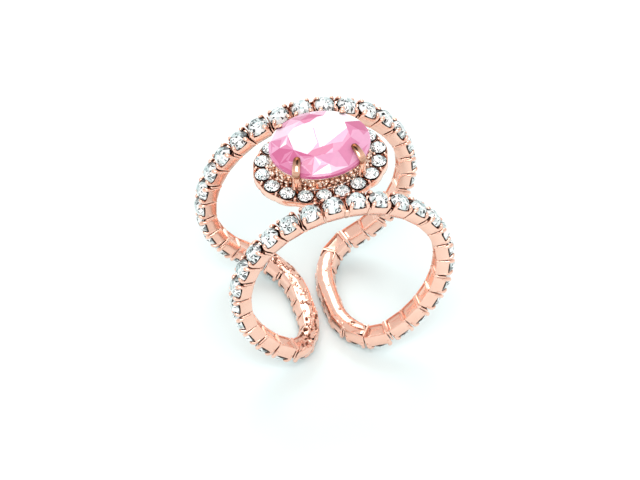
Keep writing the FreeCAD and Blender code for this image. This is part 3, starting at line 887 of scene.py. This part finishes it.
# Rows of grains: how many, the level, how far they stand out, and their size.
GRAIN_ROWS = ((44, 9.56, 0.36, 0.26), (42, 9.78, 0.14, 0.30), (42, 10.10, 0.03, 0.28), (42, 10.44, 0.0, 0.28),
              (44, 10.80, -0.01, 0.26), (46, 11.14, -0.02, 0.24))
# Grain tones drawn at random; the black ones are painted shade standing for holes in the lacework.
GRAIN_TONES = (1.0, 1.0, 1.0, 1.0, 0.9, 0.8, 0.0)
GRAINS_MISSING = 0.08


def gallery_halves(z, stand):
    """The half length and half width of the gallery's wall at a level, moved out by a little."""
    share = (z - GALLERY_FLOOR) / GALLERY_RISE
    return [half + spread * share + stand for half, spread in zip(GALLERY_HALF, GALLERY_SPREAD)]


def grain(shape, angle, z, stand, size, rng):
    """One milled grain, turned a little out of line."""
    out = Vector((math.cos(angle), math.sin(angle), 0))
    tilt = Matrix.Rotation(rng.uniform(-1.2, 1.2), 3, out)
    lean = Matrix.Rotation(rng.uniform(-0.5, 0.5), 3, UP)
    ways = tuple(tilt @ lean @ way for way in (out.cross(UP), UP, out))
    radii = (size * rng.uniform(0.5, 1.1), size * rng.uniform(0.35, 0.75), rng.uniform(0.10, 0.22))
    level = z + rng.uniform(-0.12, 0.12)
    half_x, half_y = gallery_halves(level, stand - 0.05)
    place = Vector((half_x * math.cos(angle), half_y * math.sin(angle), level))
    lump(shape, place, ways, radii, tone=rng.choice(GRAIN_TONES))


# The gallery's grains and the claws' lumps draw from one row of random numbers.
head_rng = random.Random("gallery")
gallery = Head()
wall = [oval_points(*gallery_halves(z, -inset), z, 96) for inset, z in WALL_PROFILE]
gallery.loft(wall, closed=True, ring_tones=WALL_TONES)
for count, z, stand, size in GRAIN_ROWS:
    for i in range(count):
        angle = 2 * math.pi * (i + head_rng.uniform(-0.3, 0.3)) / count
        if head_rng.random() >= GRAINS_MISSING:
            grain(gallery, angle, z, stand, size, head_rng)
gallery.make("gallery_wall_detail", "gallery_wall", "rose_gold", GRAINED)

# The seat under the stone: half lengths, half widths and levels of a deep bowl.
SEAT_PROFILE = ((2.6, 2.1, 9.22), (2.75, 2.25, 9.2), (4.55, 3.95, 11.72), (4.52, 3.92, 11.75),
                (4.40, 3.80, 11.72), (1.2, 1.0, 10.1))
seat = Head()
# The rings darken up towards the stone's girdle: painted shade in the gap under the stone.
seat.loft([oval_points(*measures, 72) for measures in SEAT_PROFILE], ring_tones=[0.4, 0.2, 0.1, 0.1, 0.1])
seat.make("stone_seat_detail", "stone_seat", "rose_gold", ROSE_GOLD)

# The oval stone. Its facets are named by tone: white, pale, light, mid and deep. The pink is the stone's own
# colour; the white facets and the spread of tones are painted reflections.
PINK_TONES = {
    "w": (0.90, 0.88, 0.90),
    "p": (0.80, 0.60, 0.73),
    "l": (0.74, 0.345, 0.52),
    "m": (0.66, 0.215, 0.38),
    "d": (0.56, 0.115, 0.26),
}
TONE_ORDER = "wplmd"
STAR_TONES = "lwdplmlm"
KITE_TONES = "dwwldlplmmmllmll"
BREAK_TONES = "dwwpmmpmdmlwplll"
BEVEL_TONES = "dwwplmwlmddmmmll"
# The table's corners are 0 to 7, round its edge. These are its other points, as shares of the stone's halves.
TABLE_POINTS = {
    "a": (-0.573, -0.065), "b": (-0.41, 0.40), "c": (-0.19, 0.46), "d": (-0.06, 0.26), "e": (-0.08, 0.01),
    "f": (-0.08, -0.18), "g": (-0.24, -0.37), "D": (-0.03, 0.27), "E": (-0.055, 0.01), "F": (-0.055, -0.18),
    "h": (0.05, 0.41), "i": (0.573, 0.05), "j": (0.04, -0.31), "k": (-0.07, -0.34), "m": (-0.07, 0.475),
    "n": (0.10, 0.573), "o": (-0.35, -0.46), "p": (0.20, -0.31), "q": (0.39, -0.33), "r": (0.573, -0.08),
    "s": (0.13, -0.573), "t": (0.17, -0.44), "u": (-0.015, -0.573),
}
TABLE_FACETS = (("3bcdefga", "w"), ("Dh10ijkFE", "w"), ("dDEFkgfe", "l"), ("ago4", "p"), ("2bc", "l"),
                ("2cm", "d"), ("2mn", "d"), ("cdDhm", "p"), ("mhn", "p"), ("hn1", "p"), ("irqpkj", "l"),
                ("r76q", "m"), ("q6stp", "m"), ("gkptu5o", "d"), ("tsu", "l"))


def paired(tone, rng, spread):
    """A tone, or one near it, for a splinter of a facet."""
    step = rng.choice(spread)
    return TONE_ORDER[min(len(TONE_ORDER) - 1, max(0, TONE_ORDER.index(tone) + step))]


def splintered(shape, corners, tone, rng, spread, depth=1):
    """A facet broken at an inner point into splinters of nearby painted reflection tones, once or twice over.
    """
    weights = [rng.uniform(0.3, 1.0) for _ in corners]
    total = sum(weights)
    heart = sum((c * (w / total) for c, w in zip(corners, weights)), Vector())
    for i, corner in enumerate(corners):
        facet = [corner, corners[(i + 1) % len(corners)], heart]
        if depth > 1 and rng.random() < 0.75:
            splintered(shape, facet, paired(tone, rng, spread), rng, spread, depth - 1)
        else:
            shape.add(facet, [[0, 1, 2]], [PINK_TONES[paired(tone, rng, spread)]])


def cut_stone():
    """The oval stone's facets."""
    shape = Head()
    x_way, y_way, up = HEAD_AXES
    level, top = STONE_TABLE
    centre = Vector((0, 0, 0))
    rng = random.Random("stone")

    def ring(share, z, count, start):
        return ring_points(centre, x_way, y_way, up, share, z, count, start, STONE_HALF)

    eighth = math.pi / 4
    tables = ring(level, top, 8, eighth / 2)
    stars = ring(0.80, STONE_GIRDLE[1] + 0.66, 8, 0.0)
    bevel = ring(0.965, STONE_GIRDLE[1] + 0.15, 16, 0.0)
    rim = ring(1.0, STONE_GIRDLE[1], 48, 0.0)
    low = ring(1.0, STONE_GIRDLE[0], 48, 0.0)
    deep = ring(0.06, 9.62, 16, 0.0)
    calm, lively = (0, 0, 0, 0, 0, 1), (-1, 0, 0, 0, 1, 1)
    for i in range(8):
        n = (i + 1) % 8
        style = (rng, lively, 2) if i in (4, 5) else (rng, calm)
        corner = bevel[2 * i + 1]
        splintered(shape, [tables[i - 1], stars[i], tables[i]], STAR_TONES[i], *style)
        splintered(shape, [tables[i], stars[i], corner], KITE_TONES[2 * i], *style)
        splintered(shape, [tables[i], corner, stars[n]], KITE_TONES[2 * i + 1], *style)
        splintered(shape, [stars[i], bevel[2 * i], corner], BREAK_TONES[2 * i], *style)
        splintered(shape, [stars[i], bevel[2 * i - 1], bevel[2 * i]], BREAK_TONES[2 * i - 1], *style)
    spots = {key: Vector((x * STONE_HALF[0], y * STONE_HALF[1], top)) for key, (x, y) in TABLE_POINTS.items()}
    spots.update({str(i): point for i, point in enumerate(tables)})
    for keys, tone in TABLE_FACETS:
        corners = [spots[key] for key in keys]
        shape.add(corners, [list(range(len(corners)))], [PINK_TONES[tone]])
    for i in range(16):
        n = (i + 1) % 16
        tone = PINK_TONES[BEVEL_TONES[i]]
        edge = [rim[(3 * i + s) % 48] for s in range(4)]
        shape.add([bevel[i], bevel[n], *edge[::-1]], [[0, 1, 2, 3, 4, 5]], [tone])
        foot = [low[(3 * i + s) % 48] for s in range(4)]
        for s in range(3):
            shape.add([edge[s], foot[s], foot[s + 1], edge[s + 1]], [[0, 1, 2, 3]], [PINK_TONES["d"]])
        shape.add([*foot, deep[n], deep[i]], [[0, 1, 2, 3, 4, 5]], [PINK_TONES["dml"[i % 3]]])
    shape.add(deep, [list(range(16))], [PINK_TONES["m"]])
    return shape


cut_stone().make("centre_stone_detail", "centre_stone", "pink_crystal", PINK, smooth=None)

HEAD_CORNERS = [(y_name, x_name, y_side, x_side) for y_name, y_side in (("front", -1), ("rear", 1))
                for x_name, x_side in (("left", -1), ("right", 1))]

# The four long claws: their line is offsets from the stone's edge, and levels.
CLAW_PLACE = math.radians(49.0)
CLAW_HEADING = math.radians(67.7)
CLAW_FOOT = 9.75
CLAW_LINE = ((-0.16, CLAW_FOOT), (0.0, 10.3), (0.08, 11.0), (0.17, 11.7), (0.20, 12.2), (0.04, 12.60),
             (-0.36, 12.90), (-0.80, 13.08), (-1.15, 13.17), (-1.30, 13.15))
CLAW_WIDTHS = [0.46, 0.42, 0.40, 0.39, 0.39, 0.39, 0.39, 0.37, 0.29, 0.06]
CLAW_THICKNESS = [0.20, 0.20, 0.19, 0.19, 0.19, 0.19, 0.19, 0.18, 0.14, 0.05]
# Size, reach over the stone, rise and tones along the line, which on the front claws are painted reflection,
# dark on the tips. The rear claws are slimmer and reach in less.
CLAW_STYLES = {
    "front": (1.0, 1.0, 1.0, [1.0, 0.8, 1.0, 1.0, 0.3, 1.0, 0.6, 0.1, 0.0, 0.4]),
    "rear": (0.75, 0.45, 0.88, [1.0] * 10),
}


def stone_claw(x_side, y_side, style, rng):
    """A claw from the gallery's foot up over the stone's girdle, with lumps of solder on its lower part."""
    size, reach, rise, painted_reflection_tones = style
    half_x, half_y = STONE_HALF
    at_edge = Vector((half_x * math.cos(CLAW_PLACE) * x_side, half_y * math.sin(CLAW_PLACE) * y_side, 0))
    direction = Vector((math.cos(CLAW_HEADING) * x_side, math.sin(CLAW_HEADING) * y_side, 0))
    side_way = direction.cross(UP)
    line = [at_edge + direction * (offset * reach) + UP * (CLAW_FOOT + (z - CLAW_FOOT) * rise)
            for offset, z in CLAW_LINE]
    path, shares = smooth_path(line, 4)
    sizes = [(between(CLAW_WIDTHS, s) * size, between(CLAW_THICKNESS, s) * size) for s in shares]
    shape = Head()
    rod(shape, path, sizes, side_way, steps=18, tones=[between(painted_reflection_tones, s) for s in shares])
    for _ in range(26):
        share = rng.uniform(0.0, 2.2)
        foot = path[min(range(len(path)), key=lambda n: abs(shares[n] - share))]
        spot = foot + side_way * rng.uniform(-0.34, 0.34) + direction * rng.uniform(0.06, 0.16)
        radii = (rng.uniform(0.05, 0.16), rng.uniform(0.04, 0.10), 0.08)
        lump(shape, spot, (side_way, UP, direction), radii, tone=rng.choice((1.0, 1.0, 0.4)))
    return shape


for y_name, x_name, y_side, x_side in HEAD_CORNERS:
    name = "stone_claw_%s_%s" % (y_name, x_name)
    claw = stone_claw(x_side, y_side, CLAW_STYLES[y_name], head_rng)
    claw.make(name + "_detail", name, "rose_gold", CLAW_GOLD, smooth=60)

# Solder beads between the halo and the bands.
BEAD_CENTRE = (1.55, 5.42, 9.54)
BEAD_HALF = (0.74, 0.52, 0.36)
BEAD_ROWS = 10
BEAD_TURNS = 18


def solder_bead(x_side, y_side, rng):
    """A slightly uneven bead of solder in one corner of the head."""
    centre = Vector((BEAD_CENTRE[0] * x_side, BEAD_CENTRE[1] * y_side, BEAD_CENTRE[2]))
    rings = []
    for i in range(1, BEAD_ROWS):
        pitch = math.pi * i / BEAD_ROWS
        ring = []
        for a in range(BEAD_TURNS):
            turn = 2 * math.pi * a / BEAD_TURNS
            swell = 1 + 0.10 * math.sin(3 * turn + x_side) * math.sin(pitch) + rng.uniform(-0.02, 0.02)
            outline = Vector((BEAD_HALF[0] * math.cos(turn), BEAD_HALF[1] * math.sin(turn), 0))
            ring.append(centre + outline * (math.sin(pitch) * swell) - UP * (BEAD_HALF[2] * math.cos(pitch)))
        rings.append(ring)
    shape = Head()
    shape.loft(rings)
    return shape


for y_name, x_name, y_side, x_side in HEAD_CORNERS:
    name = "halo_solder_%s_%s" % (y_name, x_name)
    blob = solder_bead(x_side, y_side, random.Random("bead" + y_name + x_name))
    blob.make(name + "_detail", name, "solder", SOLDER)

# The floor.
FLOOR_LEVEL = -0.01104
FLOOR_HALF = 2.0
FLOOR_TONES = ((0.79, 0.88, 0.885, 1), (0.81, 0.90, 0.905, 1))
floor_corners = [(x * FLOOR_HALF, y * FLOOR_HALF, FLOOR_LEVEL)
                 for x, y in ((-1, -1), (1, -1), (1, 1), (-1, 1))]
floor_mesh = bpy.data.meshes.new("floor")
floor_mesh.from_pydata(floor_corners, [], [(0, 1, 2, 3)])
floor = bpy.data.objects.new("floor", floor_mesh)
bpy.context.scene.collection.objects.link(floor)
paper, tree, shader = nodes_of("white_paper")
mottle = wired(tree, "ShaderNodeTexNoise", Scale=400.0, Detail=2.0)
tree.links.new(mixed(tree, "MIX", mottle.outputs["Fac"], *FLOOR_TONES), shader.inputs["Base Color"])
shader.inputs["Roughness"].default_value = 0.9
floor_mesh.materials.append(paper)

# Light: a white studio with a dark gap overhead, a soft box in front on the left and another behind.
STUDIO_WHITE = (0.98, 0.99, 0.98, 1)
GAP_DARK = (0.10, 0.09, 0.09, 1)
GAP_WAY = (0.0, 0.10, 0.995)
world = bpy.data.worlds.new("studio")
bpy.context.scene.world = world
world.use_nodes = True
tree = world.node_tree
backdrop = tree.nodes["Background"]
way = wired(tree, "ShaderNodeTexCoord").outputs["Generated"]
dark_gap = wired(tree, "ShaderNodeVectorMath", operation="DOT_PRODUCT")
tree.links.new(way, dark_gap.inputs[0])
dark_gap.inputs[1].default_value = GAP_WAY
fade = wired(tree, "ShaderNodeMapRange", From_Min=0.93, From_Max=0.985, interpolation_type="SMOOTHSTEP")
tree.links.new(dark_gap.outputs["Value"], fade.inputs["Value"])
tree.links.new(mixed(tree, "MIX", fade.outputs["Result"], STUDIO_WHITE, GAP_DARK), backdrop.inputs["Color"])
backdrop.inputs["Strength"].default_value = 0.90


def soft_light(name, place, size, power):
    """A square soft box aimed at the ring."""
    data = bpy.data.lights.new(name, "AREA")
    data.size, data.energy = size, power
    lamp = bpy.data.objects.new(name, data)
    lamp.location = place
    lamp.rotation_euler = (-Vector(place)).to_track_quat("-Z", "Y").to_euler()
    bpy.context.scene.collection.objects.link(lamp)


soft_light("key", (-0.12, -0.30, 0.46), 0.34, 1.5)
soft_light("back", (0.03, 0.38, 0.46), 0.40, 1.3)

# The camera, placed and rolled as the photo's was.
AZIMUTH, ELEVATION, ROLL = (math.radians(angle) for angle in (-20.192, 45.782, 5.695))
DISTANCE = 0.5515
OFFSET = (-0.000393, -0.000859)
LENS = 326.0
level_share = math.cos(ELEVATION)
back = Vector((math.sin(AZIMUTH) * level_share, -math.cos(AZIMUTH) * level_share, math.sin(ELEVATION)))
level_way = Vector((math.cos(AZIMUTH), math.sin(AZIMUTH), 0))
up_way = back.cross(level_way)
right_way = level_way * math.cos(ROLL) + up_way * math.sin(ROLL)
up_way = up_way * math.cos(ROLL) - level_way * math.sin(ROLL)
camera = bpy.data.objects.new("camera", bpy.data.cameras.new("camera"))
bpy.context.scene.collection.objects.link(camera)
camera.data.lens = LENS
camera.data.clip_start, camera.data.clip_end = 0.01, 5.0
target = right_way * OFFSET[0] + up_way * OFFSET[1]
placing = Matrix((right_way, up_way, back)).transposed().to_4x4()
placing.translation = target + back * DISTANCE
camera.matrix_world = placing
bpy.context.scene.camera = camera
bpy.context.scene.view_settings.view_transform = "Standard"
